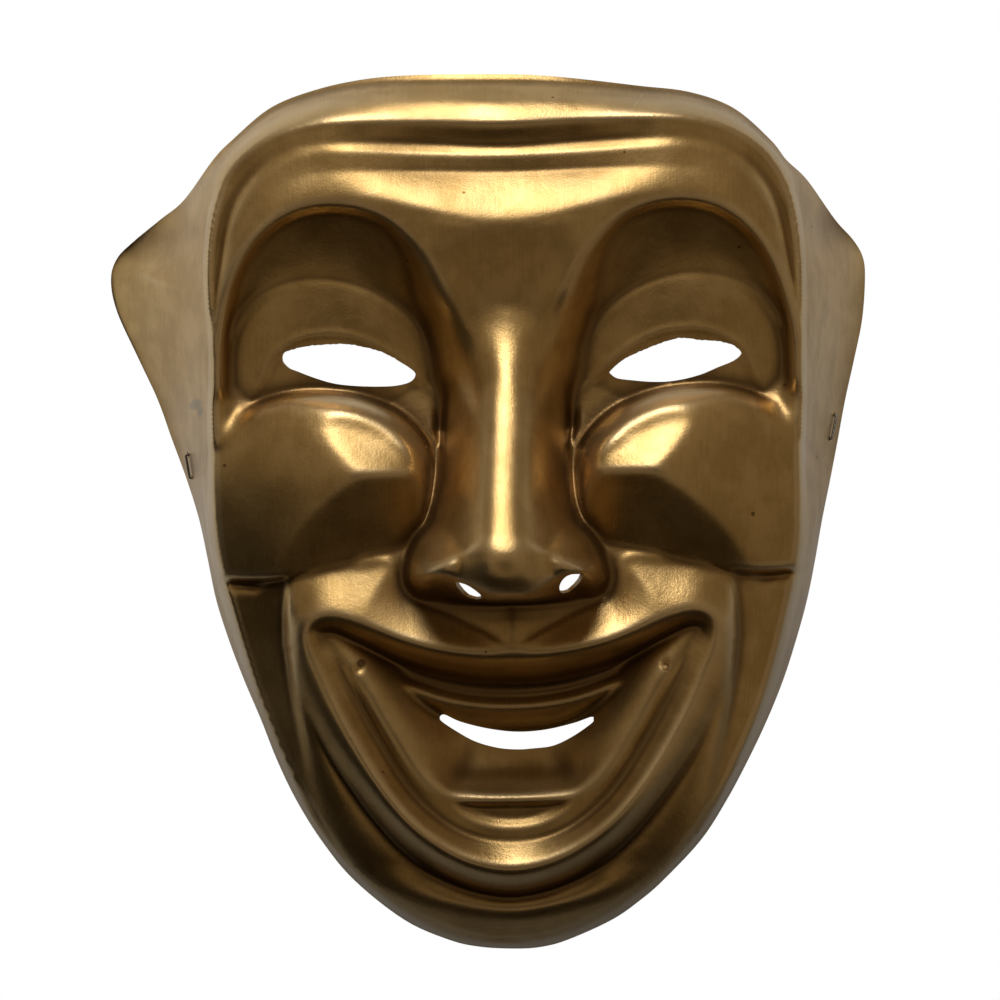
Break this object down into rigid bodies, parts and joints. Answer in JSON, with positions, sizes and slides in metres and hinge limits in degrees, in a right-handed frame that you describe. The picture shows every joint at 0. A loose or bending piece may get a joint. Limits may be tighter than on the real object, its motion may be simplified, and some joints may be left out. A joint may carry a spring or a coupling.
{
  "type": "greek theatre mask",
  "caption": "Laughing comedy theatre mask: a thin gold-painted moulded shell with cut eye, nostril and mouth openings, side flaps and wire staples.",
  "frame": {"origin": "on the surface that the mask lies on, at the middle of its length and width", "axes": "+Z out of the face, towards a viewer who looks down on it, +Y towards the forehead, +X to that viewer's right"},
  "size_m": [0.1882, 0.216, 0.0909],
  "materials": {
    "gold_paint": "satin metallic gold paint on thin moulded plastic",
    "staple_wire": "dull steel wire"
  },
  "bodies": {
    "root": {"mask_shell": "gold_paint", "staple_left": "staple_wire", "staple_right": "staple_wire"}
  },
  "joints": []
}
